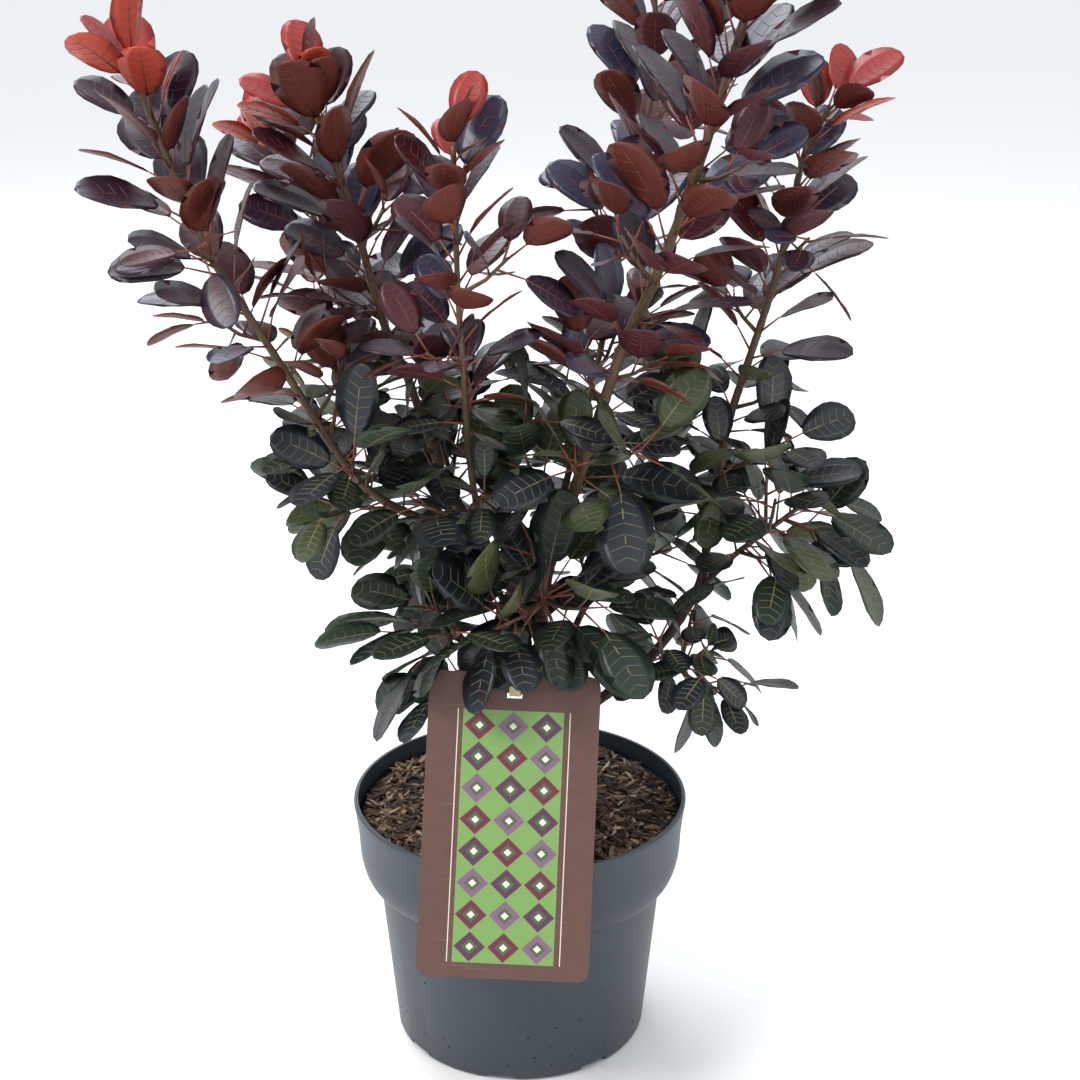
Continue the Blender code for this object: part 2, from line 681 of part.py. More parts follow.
def main():
    for obj in list(bpy.data.objects):
        bpy.data.objects.remove(obj)
    lines, forks = stem_lines()
    made = [build_pot(), build_compost(), build_card(), build_tie(lines["trunk"])]
    guards = [solid_guard(obj) for obj in made]
    stems = {name: build_stem(name, lines, forks) for name in lines}
    guards += [Guard(name, tube(line, STEM_SIDES, CLEARANCE)) for name, line in lines.items()]
    for name in MASSES:
        shapes = grow_mass(name, lines[name], guards)
        fuse(stems[name], shapes, finish_of(name))
        print(name, len(shapes))


main()
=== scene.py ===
# Looks of the potted smoke bush: leaves with veins, bark, compost, pot, label, floor, lights and camera.
import math
import random

import bpy
from mathutils import Matrix, Vector
from mathutils.bvhtree import BVHTree


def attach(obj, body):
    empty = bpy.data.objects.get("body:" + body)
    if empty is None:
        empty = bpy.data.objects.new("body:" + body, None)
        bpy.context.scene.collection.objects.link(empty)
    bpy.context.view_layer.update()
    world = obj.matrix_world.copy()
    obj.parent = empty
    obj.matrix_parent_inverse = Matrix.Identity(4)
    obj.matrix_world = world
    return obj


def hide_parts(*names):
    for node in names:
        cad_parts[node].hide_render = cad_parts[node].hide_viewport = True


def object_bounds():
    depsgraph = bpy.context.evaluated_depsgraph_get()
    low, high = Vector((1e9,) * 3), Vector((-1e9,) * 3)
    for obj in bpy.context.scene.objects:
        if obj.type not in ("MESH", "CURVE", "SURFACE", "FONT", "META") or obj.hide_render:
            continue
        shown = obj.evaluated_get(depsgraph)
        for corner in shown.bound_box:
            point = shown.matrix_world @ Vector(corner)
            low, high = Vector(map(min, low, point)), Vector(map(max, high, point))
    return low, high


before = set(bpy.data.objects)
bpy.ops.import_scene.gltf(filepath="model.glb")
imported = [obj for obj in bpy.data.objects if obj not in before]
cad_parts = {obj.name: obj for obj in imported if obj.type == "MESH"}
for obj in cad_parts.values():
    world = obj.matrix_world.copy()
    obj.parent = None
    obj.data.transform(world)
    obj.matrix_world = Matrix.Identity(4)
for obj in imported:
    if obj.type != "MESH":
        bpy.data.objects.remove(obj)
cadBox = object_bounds()
bpy.ops.object.select_all(action="DESELECT")
mm = 0.001
up = Vector((0, 0, 1))
gap = 0.3 * mm
print("frame loaded:", len(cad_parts), "nodes")

# finishes: base colour and roughness, then the depth and size of a fine bump
finishes = {
    "slatePot": ((0.027, 0.039, 0.049), 0.45, 0.10, 900),
    "potSpeck": ((0.010, 0.012, 0.013), 0.7, 0.0, 1),
    "algae": ((0.035, 0.060, 0.022), 0.8, 0.3, 700),
    "soil": ((0.018, 0.012, 0.009), 0.95, 0.8, 500),
    "chipDark": ((0.030, 0.016, 0.010), 0.85, 0.5, 900),
    "chipBrown": ((0.085, 0.045, 0.026), 0.8, 0.5, 900),
    "chipTan": ((0.22, 0.135, 0.075), 0.75, 0.4, 900),
    "chipPale": ((0.42, 0.31, 0.20), 0.7, 0.3, 900),
    "oldBark": ((0.050, 0.024, 0.018), 0.6, 0.5, 600),
    "youngBark": ((0.105, 0.060, 0.030), 0.5, 0.3, 800),
    "stalk": ((0.20, 0.060, 0.035), 0.45, 0.0, 1),
    "vein": ((0.20, 0.17, 0.085), 0.5, 0.0, 1),
    "veinRed": ((0.17, 0.040, 0.028), 0.5, 0.0, 1),
    "upPurple": ((0.022, 0.009, 0.024), 0.38, 0.25, 350),
    "upWine": ((0.052, 0.007, 0.012), 0.4, 0.25, 350),
    # purple tops painted slate blue: a painted sheen of the cool sky light on the leaves
    "upPaintedSheen": ((0.030, 0.029, 0.062), 0.34, 0.25, 350),
    "upNavy": ((0.009, 0.013, 0.019), 0.4, 0.25, 350),
    "upGreen": ((0.011, 0.023, 0.014), 0.42, 0.25, 350),
    "upOlive": ((0.036, 0.050, 0.016), 0.4, 0.25, 350),
    # young tips are red, made brighter here as a painted glow of light shining through them
    "upRedPaintedGlow": ((0.30, 0.022, 0.018), 0.4, 0.2, 350),
    "underBrick": ((0.125, 0.024, 0.015), 0.5, 0.25, 350),
    "underWine": ((0.078, 0.014, 0.020), 0.5, 0.25, 350),
    "underOlive": ((0.062, 0.080, 0.028), 0.5, 0.25, 350),
    "underGreen": ((0.020, 0.042, 0.020), 0.5, 0.25, 350),
    # red-orange undersides of the young tips, brightened as a painted glow of light shining through
    "underOrangePaintedGlow": ((0.44, 0.055, 0.028), 0.45, 0.2, 350),
    "cardBrown": ((0.105, 0.048, 0.038), 0.35, 0.05, 200),
    "cardGrain": ((0.150, 0.078, 0.060), 0.35, 0.05, 200),
    "cardGreen": ((0.17, 0.31, 0.085), 0.35, 0.0, 1),
    "cardShade": ((0.060, 0.110, 0.045), 0.35, 0.0, 1),
    "cardPlum": ((0.085, 0.028, 0.065), 0.35, 0.0, 1),
    "cardLilac": ((0.19, 0.10, 0.17), 0.35, 0.0, 1),
    "cardWine": ((0.13, 0.016, 0.040), 0.35, 0.0, 1),
    "cardCream": ((0.72, 0.66, 0.56), 0.4, 0.0, 1),
    "strapCream": ((0.62, 0.50, 0.30), 0.45, 0.1, 600),
    "floorPale": ((0.86, 0.86, 0.86), 0.6, 0.0, 1),
}

# how far the colour wanders about its base
mottled = {"slatePot": 0.06, "soil": 0.5, "chipDark": 0.4, "chipBrown": 0.35, "chipTan": 0.25, "chipPale": 0.15,
           "oldBark": 0.4, "youngBark": 0.3, "algae": 0.4, "cardBrown": 0.08, "strapCream": 0.1}


def finish(name):
    made = bpy.data.materials.get(name)
    if made:
        return made
    colour, roughness, bump, scale = finishes[name]
    made = bpy.data.materials.new(name)
    made.use_nodes = True
    tree = made.node_tree
    shader = tree.nodes["Principled BSDF"]
    shader.inputs["Base Color"].default_value = (*colour, 1)
    shader.inputs["Roughness"].default_value = roughness
    if bump:
        place = tree.nodes.new("ShaderNodeTexCoord")
        noise = tree.nodes.new("ShaderNodeTexNoise")
        noise.inputs["Scale"].default_value = scale
        noise.inputs["Detail"].default_value = 4
        relief = tree.nodes.new("ShaderNodeBump")
        relief.inputs["Strength"].default_value = bump
        relief.inputs["Distance"].default_value = 0.3 * mm
        if name in mottled:
            ramp = tree.nodes.new("ShaderNodeValToRGB")
            for stop, part in zip(ramp.color_ramp.elements, (1 - mottled[name], 1 + mottled[name])):
                stop.position = 0.3 if part < 1 else 0.7
                stop.color = (*(min(c * part, 1) for c in colour), 1)
            tree.links.new(noise.outputs["Fac"], ramp.inputs["Fac"])
            tree.links.new(ramp.outputs["Color"], shader.inputs["Base Color"])
        tree.links.new(place.outputs["Object"], noise.inputs["Vector"])
        tree.links.new(noise.outputs["Fac"], relief.inputs["Height"])
        tree.links.new(relief.outputs["Normal"], shader.inputs["Normal"])
    return made


# many small shapes joined in one mesh, each face with its own finish
class Pile:
    def __init__(self):
        self.verts, self.faces, self.slots, self.names = [], [], [], []

    def add(self, verts, faces, name):
        if name not in self.names:
            self.names.append(name)
        start = len(self.verts)
        self.verts += [tuple(v) for v in verts]
        self.faces += [tuple(start + i for i in face) for face in faces]
        self.slots += [self.names.index(name)] * len(faces)

    def piece(self, name, slot, replaced=(), smooth=True):
        mesh = bpy.data.meshes.new(name)
        mesh.from_pydata(self.verts, [], self.faces)
        for used in self.names:
            mesh.materials.append(finish(used))
        mesh.polygons.foreach_set("material_index", self.slots)
        mesh.update()
        if smooth:
            mesh.shade_smooth()
        obj = bpy.data.objects.new(name, mesh)
        bpy.context.scene.collection.objects.link(obj)
        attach(obj, "root")
        if replaced:
            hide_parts(*replaced)
        return obj


# the stems' routes in millimetres, as the solids have them
stems = {
    "main": {
        "route": ((15, 5, 135.8), (13.5, 3, 160), (12, 0, 205), (12, 0, 256), (15, -5, 280), (21, -10, 304),
                  (37, -20, 358), (55, -25, 418), (69, -30, 450), (89, -35, 507), (104, -39, 560), (117, -42, 610)),
        "pieces": (("trunk", 3), ("tall_front_bough", 5), ("tall_front_leaves", 11)),
        "radii": (5.2, 3.7, 3.2, 2.0),
    },
    "left": {
        "fork": ("trunk", 0.86),
        "route": ((-3, 0, 268), (-22, 0, 301), (-34, 0, 322), (-43, 2, 341), (-60, 14, 388), (-73, 20, 418),
                  (-90, 28, 481), (-108, 30, 533)),
        "pieces": (("left_bough", 3), ("left_leaves", 8)),
        "radii": (2.9, 2.7, 1.9),
    },
    "far_left": {
        "fork": ("left_bough", 0.72),
        "route": ((-50, -9, 314), (-80, -19, 335), (-102, -20, 366), (-121, -20, 400), (-145, -26, 444),
                  (-161, -30, 476), (-187, -31, 552)),
        "pieces": (("far_left_bough", 1), ("far_left_leaves", 7)),
        "radii": (2.5, 2.4, 1.8),
    },
    "left_back": {
        "fork": ("left_bough", 0.34),
        "route": ((-32, 28, 300), (-66, 50, 332), (-92, 78, 376), (-106, 100, 418), (-118, 114, 455),
                  (-140, 120, 490)),
        "pieces": (("left_back_bough", 2), ("left_back_leaves", 6)),
        "radii": (2.2, 1.9, 1.3),
    },
    "centre_left": {
        "fork": ("left_bough", 0.5),
        "route": ((-18, -12, 304), (-24, -22, 338), (-27, -32, 378), (-28, -40, 412), (-30, -45, 452),
                  (-31, -50, 524)),
        "pieces": (("centre_left_bough", 1), ("centre_left_leaves", 6)),
        "radii": (2.1, 2.0, 1.3),
    },
    "tall_back": {
        "fork": ("tall_front_bough", 0.55),
        "route": ((24, 26, 316), (40, 60, 366), (51, 80, 412), (64, 92, 483), (75, 100, 538), (73, 102, 608)),
        "pieces": (("tall_back_bough", 1), ("tall_back_leaves", 6)),
        "radii": (2.2, 2.0, 1.4),
    },
    "right": {
        "fork": ("trunk", 0.36),
        "route": ((43, 0, 202), (75, 1, 231), (100, 10, 268), (105, 20, 292), (114, 30, 350), (122, 35, 378),
                  (136, 39, 424), (145, 40, 462), (152, 40, 503), (164, 40, 528)),
        "pieces": (("right_bough", 4), ("right_leaves", 10)),
        "radii": (3.0, 2.5, 1.6),
    },
    "outer_right": {
        "fork": ("right_bough", 0.78),
        "route": ((116, 10, 284), (140, 16, 301), (162, 18, 318)),
        "pieces": (("outer_right_bough", 1), ("outer_right_leaves", 3)),
        "radii": (1.9, 1.7, 1.2),
    },
    "back_left": {
        "fork": ("trunk", 0.62),
        "route": ((-8, 26, 250), (-34, 58, 298), (-50, 80, 350)),
        "pieces": (("back_left_bough", 1), ("back_left_leaves", 3)),
        "radii": (2.2, 2.0, 1.3),
    },
    "back_right": {
        "fork": ("trunk", 0.5),
        "route": ((34, 32, 240), (66, 68, 292), (84, 92, 346)),
        "pieces": (("back_right_bough", 1), ("back_right_leaves", 3)),
        "radii": (2.2, 2.0, 1.3),
    },
    "front": {
        "fork": ("tall_front_bough", 0.2),
        "route": ((14, -14, 268), (14, -20, 273), (13, -34, 280)),
        "pieces": (("front_bough", 1), ("front_leaves", 3)),
        "radii": (1.7, 1.6, 1.3),
    },
    "low_left": {
        "fork": ("trunk", 0.56),
        "route": ((-8, -6, 222), (-30, -14, 246), (-46, -18, 266)),
        "pieces": (("low_left_bough", 1), ("low_left_leaves", 3)),
        "radii": (1.9, 1.7, 1.2),
    },
    "low_right": {
        "fork": ("right_bough", 0.5),
        "route": ((78, -10, 226), (88, -14, 232), (102, -18, 240)),
        "pieces": (("low_right_bough", 1), ("low_right_leaves", 3)),
        "radii": (1.7, 1.5, 1.1),
    },
}
tall = {"leaves": 24, "start": 0.03, "crowd": 1.25, "blade": (42, 33, 40, 45, 33), "spread": (78, 62, 46, 36, 18),
        "stalk": 0.43, "sag": 0.06, "twigs": 3, "zone": (0.02, 0.3), "twigLong": 42, "twigLeaves": 5}
low = {"leaves": 9, "start": 0.05, "crowd": 1.0, "blade": (43, 45, 41), "spread": (88, 70, 44),
       "stalk": 0.48, "sag": 0.14, "twigs": 1, "zone": (0.1, 0.8), "twigLong": 40, "twigLeaves": 5}
onTwig = {"start": 0.35, "crowd": 1.3, "spread": (84, 66, 34), "colourShare": 0.2}
masses = {
    "tall_front_leaves": {**tall, "leaves": 32, "blade": (45, 36, 42, 47, 36), "turn": 30, "seed": 15},
    "far_left_leaves": {**tall, "leaves": 27, "turn": 0, "seed": 11},
    "left_leaves": {**tall, "leaves": 25, "turn": 60, "seed": 12},
    "right_leaves": {**tall, "leaves": 22, "blade": (39, 32, 38, 40, 33), "turn": 45, "seed": 17},
    "tall_back_leaves": {**tall, "twigs": 2, "turn": 10, "seed": 16},
    "centre_left_leaves": {**tall, "leaves": 19, "blade": (40, 32, 36, 38, 30), "twigs": 2, "turn": 90, "seed": 14},
    "left_back_leaves": {**tall, "leaves": 14, "twigs": 1, "turn": 20, "seed": 13},
    "outer_right_leaves": {**low, "turn": 80, "seed": 28},
    "front_leaves": {**low, "twigs": 0, "spread": (100, 84, 50), "turn": 0, "seed": 31},
    "low_left_leaves": {**low, "leaves": 7, "turn": 0, "seed": 32},
    "low_right_leaves": {**low, "leaves": 6, "twigs": 0, "blade": (30, 30, 28), "sag": 0.5, "turn": 0, "seed": 33},
    "back_left_leaves": {**low, "turn": 0, "seed": 29},
    "back_right_leaves": {**low, "turn": 0, "seed": 30},
}
growth = {"stepsPerSpan": 3, "flare": 1.7, "twigRadii": (1.3 * mm, 0.9 * mm), "twigLift": 0.35, "stalk": 0.55 * mm,
          "golden": math.radians(137.5), "width": 0.66, "fold": 0.1, "thick": 0.016, "bend": math.radians(10),
          "clear": 0.4 * mm, "tries": 16, "sections": ((0.34, 0.88), (0.77, 0.86))}


def smoothPoints(route):
    ends = [2 * route[0] - route[1], *route, 2 * route[-1] - route[-2]]
    points = [route[0]]
    for k in range(len(route) - 1):
        a, b, c, d = ends[k:k + 4]
        for j in range(1, growth["stepsPerSpan"] + 1):
            t = j / growth["stepsPerSpan"]
            points.append(0.5 * (2 * b + (c - a) * t + (2 * a - 5 * b + 4 * c - d) * t**2
                                 + (3 * b - a - 3 * c + d) * t**3))
    return points


def stationsAlong(points, stops, radii):
    line = []
    for k, point in enumerate(points):
        before, after = points[max(k - 1, 0)], points[min(k + 1, len(points) - 1)]
        section = next(i for i in range(1, len(stops)) if k <= stops[i])
        start, end = stops[section - 1], stops[section]
        radius = radii[section - 1] + (radii[section] - radii[section - 1]) * (k - start) / (end - start)
        line.append((point, (after - before).normalized(), radius))
    return line


def placeOn(line, share):
    lengths = [(b[0] - a[0]).length for a, b in zip(line, line[1:])]
    left = share * sum(lengths)
    for (near, far), length in zip(zip(line, line[1:]), lengths):
        if left <= length or far is line[-1]:
            t = left / length
            point = near[0].lerp(far[0], t)
            return point, near[1].lerp(far[1], t).normalized(), near[2] + (far[2] - near[2]) * t
        left -= length


def around(direction, turn):
    first = Vector((0, -1, 0)) - direction * -direction.y
    first.normalize()
    return first * math.cos(turn) + direction.cross(first) * math.sin(turn)


def tube(line, sides, grow=0.0):
    verts, faces = [], []
    for point, direction, radius in line:
        for j in range(sides):
            verts.append(point + around(direction, 2 * math.pi * j / sides) * (radius + grow))
    for k in range(len(line) - 1):
        here, there = k * sides, (k + 1) * sides
        for j in range(sides):
            nxt = (j + 1) % sides
            faces.append((here + j, here + nxt, there + nxt, there + j))
    faces.append(tuple(range(sides))[::-1])
    faces.append(tuple(range((len(line) - 1) * sides, len(line) * sides)))
    return verts, faces


def movedOn(line, distance):
    point, direction, radius = line[0]
    return [(point + direction * distance, direction, radius), *line[1:]]


def stemLines():
    lines = {}
    for plan in stems.values():
        route = [Vector(p) * mm for p in plan["route"]]
        if "fork" in plan:
            limb, share = plan["fork"]
            route.insert(0, placeOn(lines[limb], share)[0])
        stops = [0] + [end * growth["stepsPerSpan"] for _, end in plan["pieces"]]
        line = stationsAlong(smoothPoints(route), stops, [r * mm for r in plan["radii"]])
        for (name, _), start, end in zip(plan["pieces"], stops, stops[1:]):
            piece = line[start:end + 1]
            lines[name] = movedOn(piece, gap) if start else piece
    foot, direction, radius = lines["trunk"][0]
    lines["trunk"][0] = (foot, up, radius * growth["flare"])
    return lines


# new growth keeps clear of a guard: all of it, or only its outer part on its own stem
class Guard:
    def __init__(self, owner, whole, outer=None):
        self.owner = owner
        verts = whole[0]
        self.middle = sum(verts, Vector()) / len(verts)
        self.reach = max((v - self.middle).length for v in verts)
        self.whole = BVHTree.FromPolygons(*whole)
        self.outer = BVHTree.FromPolygons(*outer) if outer else self.whole

    def meets(self, other):
        if (self.middle - other.middle).length > self.reach + other.reach:
            return False
        if self.owner == other.owner:
            return bool(self.outer.overlap(other.outer))
        return bool(self.whole.overlap(other.whole))


def atShare(values, share):
    step = min(int(share * (len(values) - 1)), len(values) - 2)
    return values[step] + (values[step + 1] - values[step]) * (share * (len(values) - 1) - step)


def placeLeaf(line, share, turn, lift, roll, size, plan):
    root, direction, radius = placeOn(line, share)
    out = around(direction, turn)
    rise = math.radians(atShare(plan["spread"], share)) + lift
    long = atShare(plan["blade"], share) * mm * size
    neck = root + (direction * math.cos(rise) + out * math.sin(rise)) * (radius + long * plan["stalk"])
    rise += growth["bend"]
    blade = direction * math.cos(rise) + out * math.sin(rise)
    blade = (blade - up * plan["sag"]).normalized()
    side = blade.cross(direction * 0.6 + up).normalized()
    side = Matrix.Rotation(roll, 3, blade) @ side
    return {"root": root, "neck": neck, "blade": blade, "side": side, "up": side.cross(blade), "long": long,
            "share": share}


def plainLeaf(leaf, grow, start=0.0):
    blade, side, top, long = leaf["blade"], leaf["side"], leaf["up"], leaf["long"]
    stalk = growth["stalk"] + grow
    verts = []
    for middle in (leaf["root"].lerp(leaf["neck"], start), leaf["neck"]):
        verts += [middle + (top * 0.5 - side) * stalk, middle + (top * 0.5 + side) * stalk, middle - top * stalk]
    for share, wide in growth["sections"]:
        middle = leaf["neck"] + blade * long * share
        half = growth["width"] * long / 2 * wide + grow
        edge = top * (growth["fold"] * half + grow)
        keel = top * (growth["thick"] * long + grow)
        verts += [middle - side * half + edge, middle + side * half + edge, middle - keel]
    verts.append(leaf["neck"] + blade * (long + grow))
    faces = [(2, 1, 0)]
    rings = len(growth["sections"]) + 2
    for k in range(rings - 1):
        for j in range(3):
            nxt = (j + 1) % 3
            faces.append((3 * k + j, 3 * k + nxt, 3 * k + 3 + nxt, 3 * k + 3 + j))
    last = 3 * (rings - 1)
    faces += [(last + j, last + (j + 1) % 3, last + 3) for j in range(3)]
    return verts, faces


def growLeaves(name, line, count, plan, rng, guards):
    made = []
    turn = math.radians(plan["turn"])
    for k in range(count):
        even = (k + 0.5) / count
        share = plan["start"] + (1 - plan["start"]) * (1 - (1 - even)**plan["crowd"])
        turn += growth["golden"] + rng.uniform(-0.3, 0.3)
        lift, roll, size = rng.uniform(-0.17, 0.17), rng.uniform(-0.6, 0.6), rng.uniform(0.85, 1.15)
        for attempt in range(growth["tries"]):
            swing = (attempt + 1) // 2 * (0.16 if attempt % 2 else -0.16)
            leaf = placeLeaf(line, share, turn + swing, lift + swing / 2, roll, size * (1 - 0.017 * attempt), plan)
            guard = Guard(name, plainLeaf(leaf, growth["clear"]), plainLeaf(leaf, growth["clear"], 0.35))
            if not any(guard.meets(other) for other in guards):
                guards.append(guard)
                made.append(leaf)
                break
    return made


def growTwigs(name, line, plan, rng, guards):
    made = []
    turn = math.radians(plan["turn"]) + math.pi / 2
    start, end = plan["zone"]
    for k in range(plan["twigs"]):
        turn += growth["golden"] + rng.uniform(-0.3, 0.3)
        long = plan["twigLong"] * mm * rng.uniform(0.8, 1.2)
        root, direction, _ = placeOn(line, start + (end - start) * (k + 0.5) / plan["twigs"])
        for attempt in range(growth["tries"]):
            swing = (attempt + 1) // 2 * (0.2 if attempt % 2 else -0.2)
            heading = (direction * 0.5 + around(direction, turn + swing)).normalized()
            lifted = (heading + up * growth["twigLift"]).normalized()
            points = [root, root + heading * long / 2, root + (heading + lifted) * long / 2]
            twig = stationsAlong(points, (0, 2), growth["twigRadii"])
            guard = Guard(name, tube(twig, 3, growth["clear"]), tube(movedOn(twig, 6 * mm), 3, growth["clear"]))
            if not any(guard.meets(other) for other in guards):
                guards.append(guard)
                made.append(twig)
                break
    return made


def growSpray(name, line, plan, count, rng, guards):
    twigs = growTwigs(name, line, plan, rng, guards)
    leaves = growLeaves(name, line, count, plan, rng, guards)
    for twig in twigs:
        outer = {**plan, **onTwig, "blade": plan["blade"][:2], "turn": rng.uniform(0, 360)}
        grown = growLeaves(name, twig, plan["twigLeaves"], outer, rng, guards)
        for leaf in grown:
            leaf["share"] = onTwig["colourShare"]
        leaves += grown
    return twigs, leaves


def growMass(name, line, guards):
    plan = masses[name]
    return growSpray(name, line, plan, plan["leaves"], random.Random(plan["seed"]), guards)


# the fine leaf: its blade's own outline, its colours and its veins
leafLook = {
    "rows": (0, 0.07, 0.2, 0.36, 0.54, 0.7, 0.84, 0.95, 1), "arch": 0.05, "wave": 0.03, "thin": 0.32 * mm,
    "veinPairs": 6, "veinWide": 0.34 * mm, "ribWide": 0.95 * mm, "proud": 0.09 * mm,
    "young": 6, "youngBlade": (24, 15), "youngSpread": (38, 14),
    "fineTurn": 70, "fineBlade": 0.88, "fineTwigs": 4, "fineTwigLong": 30, "fineZone": (0.04, 0.75),
    "fineShare": 1.1, "fineSeed": 100, "inside": 1 * mm, "testAt": (0.3, 0.45, 0.6, 0.8, 1), "shrink": 0.94,
    "stalkRadii": (0.75 * mm, 0.45 * mm), "stalkSides": 5, "twigSides": 7, "maxCurl": 0.07, "seed": 4,
}


def bladePoint(leaf, share, wide):
    half = growth["width"] * leaf["long"] / 2 * (4 * share * (1 - share))**0.55 * (0.85 + 0.3 * share)
    rise = growth["fold"] * half * wide * wide + leafLook["arch"] * leaf["long"] * math.sin(math.pi * share) * 0.5
    rise += leafLook["wave"] * half * abs(wide) * math.sin(leaf["phase"] + 11 * share + 2 * wide)
    curl = leaf["curl"] * leaf["long"] * share**2
    along, aside = leaf["blade"] * leaf["long"] * share, leaf["side"] * half * wide
    return leaf["neck"] + along + aside + leaf["up"] * (rise - curl)


# where on the plant each group of colours is: heights in metres, and the share of a shoot where its tip starts
zones = {"redAbove": 0.43, "tipFrom": 0.9, "purpleAbove": 0.39, "mixedAbove": 0.28}


def leafColours(leaf, rng):
    high = leaf["neck"].z
    pick = rng.random()
    if high > zones["redAbove"] and leaf["share"] > zones["tipFrom"]:
        # red tips, mostly in the brightened colours that paint in the glow of backlight
        return ("upRedPaintedGlow", "underOrangePaintedGlow", "veinRed") if pick < 0.65 else ("upWine", "underBrick", "veinRed")
    if high > zones["purpleAbove"]:
        # some purple tops take the slate-blue painted sheen
        top = "upPurple" if pick < 0.5 else "upPaintedSheen" if pick < 0.72 else "upWine"
        return top, ("underBrick" if rng.random() < 0.65 else "underWine"), "veinRed"
    if high > zones["mixedAbove"]:
        top = "upNavy" if pick < 0.5 else "upGreen" if pick < 0.74 else "upOlive"
        return top, ("underOlive" if rng.random() < 0.6 else "underGreen"), "vein"
    return ("upGreen" if pick < 0.7 else "upNavy"), "underGreen", "vein"


# a closed blade: its under side shares the rim with its top, and lies a leaf's thickness below it inside
def addBlade(pile, leaf, top, under):
    rows = leafLook["rows"]
    verts = [bladePoint(leaf, 0, 0)]
    for share in rows[1:-1]:
        verts += [bladePoint(leaf, share, wide) for wide in (-1, -0.5, 0, 0.5, 1)]
    tip = len(verts)
    verts.append(bladePoint(leaf, 1, 0))
    below = {}
    for k in range(len(rows) - 2):
        for j in (1, 2, 3):
            below[1 + 5 * k + j] = len(verts)
            verts.append(verts[1 + 5 * k + j] - leaf["up"] * leafLook["thin"])
    faces = []
    last = 1 + 5 * (len(rows) - 3)
    for j in range(4):
        faces += [(0, 1 + j, 2 + j), (last + j, tip, last + j + 1)]
        for k in range(len(rows) - 3):
            a = 1 + 5 * k + j
            faces.append((a, a + 5, a + 6, a + 1))
    pile.add(verts, [face[::-1] for face in faces], top)
    start = len(pile.verts) - len(verts)
    if under not in pile.names:
        pile.names.append(under)
    pile.faces += [tuple(start + below.get(i, i) for i in face) for face in faces]
    pile.slots += [pile.names.index(under)] * len(faces)


def addRidge(pile, leaf, points, half, name):
    high, deep = leaf["up"] * leafLook["proud"], leaf["up"] * (leafLook["proud"] + leafLook["thin"])
    verts = []
    for k, point in enumerate(points[:-1]):
        part = half * (1 - 0.7 * k / (len(points) - 1))
        verts += [point - part + high, point + part + high, point + part - deep, point - part - deep]
    verts.append(points[-1] - (deep - high) / 2)
    last = 4 * (len(points) - 2)
    faces = [(3, 2, 1, 0)] + [(last + j, last + (j + 1) % 4, last + 4) for j in range(4)]
    for k in range(len(points) - 2):
        for j in range(4):
            nxt = (j + 1) % 4
            faces.append((4 * k + j, 4 * k + nxt, 4 * k + 4 + nxt, 4 * k + 4 + j))
    run = points[1] - points[0]
    if half.cross(run).dot(leaf["up"]) < 0:
        faces = [face[::-1] for face in faces]
    pile.add(verts, faces, name)


def addVeins(pile, leaf, name):
    rib = [bladePoint(leaf, share, 0) for share in (0.01, 0.3, 0.6, 0.97)]
    addRidge(pile, leaf, rib, leaf["side"] * leafLook["ribWide"] / 2, name)
    for k in range(leafLook["veinPairs"]):
        start = 0.12 + 0.68 * k / (leafLook["veinPairs"] - 1)
        for way in (-1, 1):
            side = [bladePoint(leaf, start + 0.13 * t**1.3, way * 0.9 * t) for t in (0, 0.5, 1)]
            addRidge(pile, leaf, side, leaf["blade"] * leafLook["veinWide"] / 2, name)


# the rule carried on: more small twigs and leaves among the first, within their reach
def growFine(name, line, guards):
    plan = masses[name]
    look = leafLook
    finer = {**plan, "twigs": look["fineTwigs"], "twigLong": look["fineTwigLong"], "zone": look["fineZone"],
             "turn": plan["turn"] + look["fineTurn"], "blade": tuple(look["fineBlade"] * b for b in plan["blade"])}
    count = round(look["fineShare"] * plan["leaves"])
    twigs, leaves = growSpray(name, line, finer, count, random.Random(plan["seed"] + look["fineSeed"]), guards)
    return twigs, [leaf for leaf in leaves if insideBox(leaf["neck"], 2 * look["inside"])]


def insideBox(spot, edge):
    low, high = cadBox
    return all(low[axis] + edge < spot[axis] < high[axis] - edge for axis in range(3))


def keepInside(leaf):
    for attempt in range(growth["tries"]):
        spots = [bladePoint(leaf, share, wide) for share in leafLook["testAt"] for wide in (-1, 0, 1)]
        if all(insideBox(spot, leafLook["inside"]) for spot in spots):
            return
        leaf["long"] *= leafLook["shrink"]


